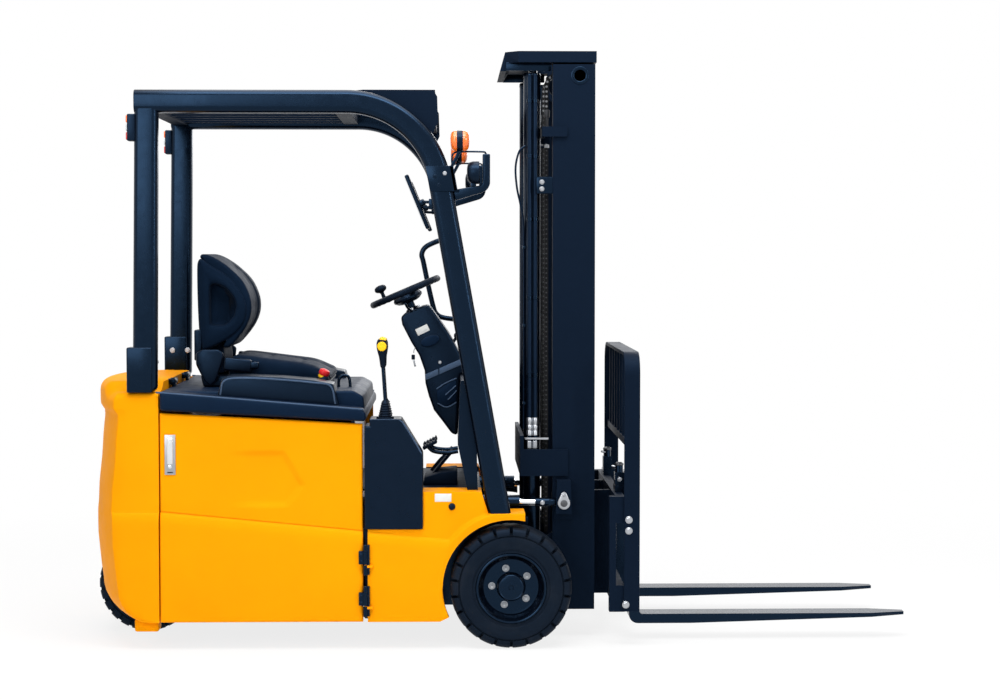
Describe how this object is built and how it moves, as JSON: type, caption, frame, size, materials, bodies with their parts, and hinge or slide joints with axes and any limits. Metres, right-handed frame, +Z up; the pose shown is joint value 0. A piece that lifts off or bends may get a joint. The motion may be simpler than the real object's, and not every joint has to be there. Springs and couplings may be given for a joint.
{
  "type": "electric counterbalance forklift",
  "caption": "Three-wheel electric counterbalance forklift with overhead guard, telescopic mast, carriage with load backrest, sliding forks and twin steered rear wheels.",
  "frame": {"origin": "on the ground under the middle of the whole truck, tail to fork tips", "axes": "+X to the fork tips, +Y to the truck's left, +Z up"},
  "size_m": [3.128, 1.074, 2.244],
  "materials": {
    "yellow_paint": "semi-gloss enamel",
    "black_paint": "satin enamel",
    "black_plastic": "grained",
    "tyre_rubber": "moulded rubber",
    "cushion_cloth": "grained vinyl",
    "bright_steel": "ground and plated",
    "dark_steel": "oiled",
    "hose_rubber": "matt",
    "amber_lens": "clear amber moulding",
    "red_lens": "clear red moulding",
    "red_plastic": "moulded",
    "battery_paint": "powder coat"
  },
  "bodies": {
    "chassis": {"chassis_frame": "yellow_paint", "front_panel_right": "yellow_paint", "front_panel_left": "yellow_paint", "counterweight": "yellow_paint", "battery_block": "battery_paint", "front_axle": "dark_steel", "floor_plate": "black_plastic", "front_cowl": "black_plastic", "steering_column": "black_plastic", "lever_console": "black_plastic", "control_levers": "black_plastic", "guard_frame_right": "black_paint", "guard_frame_left": "black_paint", "guard_roof": "black_paint", "headlamps": "black_plastic", "signal_lamps": "amber_lens", "rear_lamps": "red_lens", "mirrors": "black_plastic", "grab_handle": "black_paint", "tow_pin": "bright_steel"},
    "hood": {"hood_lid": "black_plastic", "seat_base": "black_plastic", "seat_cushion": "cushion_cloth", "seat_backrest": "cushion_cloth", "stop_button": "red_plastic"},
    "door_right": {"right_door": "yellow_paint"},
    "door_left": {"left_door": "yellow_paint"},
    "steering_wheel": {"steering_wheel": "black_plastic"},
    "steer_turret": {"steer_turret": "dark_steel"},
    "rear_wheels": {"rear_rims": "black_paint", "rear_tyres": "tyre_rubber"},
    "wheel_right": {"right_rim": "black_paint", "right_tyre": "tyre_rubber"},
    "wheel_left": {"left_rim": "black_paint", "left_tyre": "tyre_rubber"},
    "outer_mast": {"outer_mast": "black_paint", "lift_barrels": "black_paint", "mast_hoses": "hose_rubber"},
    "inner_mast": {"inner_mast": "black_paint", "lift_rods": "bright_steel", "lift_chains": "dark_steel"},
    "carriage": {"carriage": "black_paint", "load_backrest": "black_paint"},
    "fork_right": {"right_fork": "black_paint"},
    "fork_left": {"left_fork": "black_paint"},
    "tilt_barrel_right": {"right_tilt_barrel": "black_paint"},
    "tilt_rod_right": {"right_tilt_rod": "bright_steel"},
    "tilt_barrel_left": {"left_tilt_barrel": "black_paint"},
    "tilt_rod_left": {"left_tilt_rod": "bright_steel"}
  },
  "joints": [
    {"name": "wheel_right_spin", "type": "hinge", "parent": "chassis", "child": "wheel_right", "pos_m": [0.044, -0.45, 0.228], "axis": [0, 1, 0], "continuous": true},
    {"name": "wheel_left_spin", "type": "hinge", "parent": "chassis", "child": "wheel_left", "pos_m": [0.044, 0.45, 0.228], "axis": [0, 1, 0], "continuous": true},
    {"name": "steer", "type": "hinge", "parent": "chassis", "child": "steer_turret", "pos_m": [-1.366, 0, 0.4], "axis": [0, 0, 1], "range_deg": [-90, 90]},
    {"name": "rear_wheels_spin", "type": "hinge", "parent": "steer_turret", "child": "rear_wheels", "pos_m": [-1.366, 0, 0.19], "axis": [0, 1, 0], "continuous": true},
    {"name": "steering_wheel_turn", "type": "hinge", "parent": "chassis", "child": "steering_wheel", "pos_m": [-0.361, 0, 1.325], "axis": [-0.3907, 0, 0.9205], "range_deg": [-905, 905]},
    {"name": "hood_open", "type": "hinge", "parent": "chassis", "child": "hood", "pos_m": [-1.251, 0, 0.985], "axis": [0, -1, 0], "range_deg": [0, 60]},
    {"name": "door_right_open", "type": "hinge", "parent": "chassis", "child": "door_right", "pos_m": [-0.499, -0.529, 0.26], "axis": [0, 0, 1], "range_deg": [0, 100]},
    {"name": "door_left_open", "type": "hinge", "parent": "chassis", "child": "door_left", "pos_m": [-0.499, 0.529, 0.26], "axis": [0, 0, -1], "range_deg": [0, 100]},
    {"name": "mast_tilt", "type": "hinge", "parent": "chassis", "child": "outer_mast", "pos_m": [0.044, 0, 0.228], "axis": [0, 1, 0], "range_deg": [-6, 3]},
    {"name": "mast_lift", "type": "slide", "parent": "outer_mast", "child": "inner_mast", "axis": [0, 0, 1], "range_m": [0, 1.5]},
    {"name": "carriage_lift", "type": "slide", "parent": "inner_mast", "child": "carriage", "axis": [0, 0, 1], "range_m": [0, 1.5]},
    {"name": "fork_right_shift", "type": "slide", "parent": "carriage", "child": "fork_right", "axis": [0, -1, 0], "range_m": [-0.18, 0.12]},
    {"name": "fork_left_shift", "type": "slide", "parent": "carriage", "child": "fork_left", "axis": [0, 1, 0], "range_m": [-0.18, 0.12]},
    {"name": "tilt_barrel_right_swing", "type": "hinge", "parent": "chassis", "child": "tilt_barrel_right", "pos_m": [-0.286, -0.332, 0.527], "axis": [0, 1, 0], "range_deg": [-2.4, 1.2]},
    {"name": "tilt_rod_right_stroke", "type": "slide", "parent": "tilt_barrel_right", "child": "tilt_rod_right", "axis": [1, 0, 0], "range_m": [-0.033, 0.017]},
    {"name": "tilt_barrel_left_swing", "type": "hinge", "parent": "chassis", "child": "tilt_barrel_left", "pos_m": [-0.286, 0.332, 0.527], "axis": [0, 1, 0], "range_deg": [-2.4, 1.2]},
    {"name": "tilt_rod_left_stroke", "type": "slide", "parent": "tilt_barrel_left", "child": "tilt_rod_left", "axis": [1, 0, 0], "range_m": [-0.033, 0.017]}
  ],
  "couplings": [
    {"joint": "carriage_lift", "follows": "mast_lift", "ratio": 1},
    {"joint": "steering_wheel_turn", "follows": "steer", "ratio": -10},
    {"joint": "tilt_barrel_right_swing", "follows": "mast_tilt", "ratio": 0.3795},
    {"joint": "tilt_rod_right_stroke", "follows": "mast_tilt", "m_per_rad": 0.302},
    {"joint": "tilt_barrel_left_swing", "follows": "mast_tilt", "ratio": 0.3795},
    {"joint": "tilt_rod_left_stroke", "follows": "mast_tilt", "m_per_rad": 0.302}
  ]
}
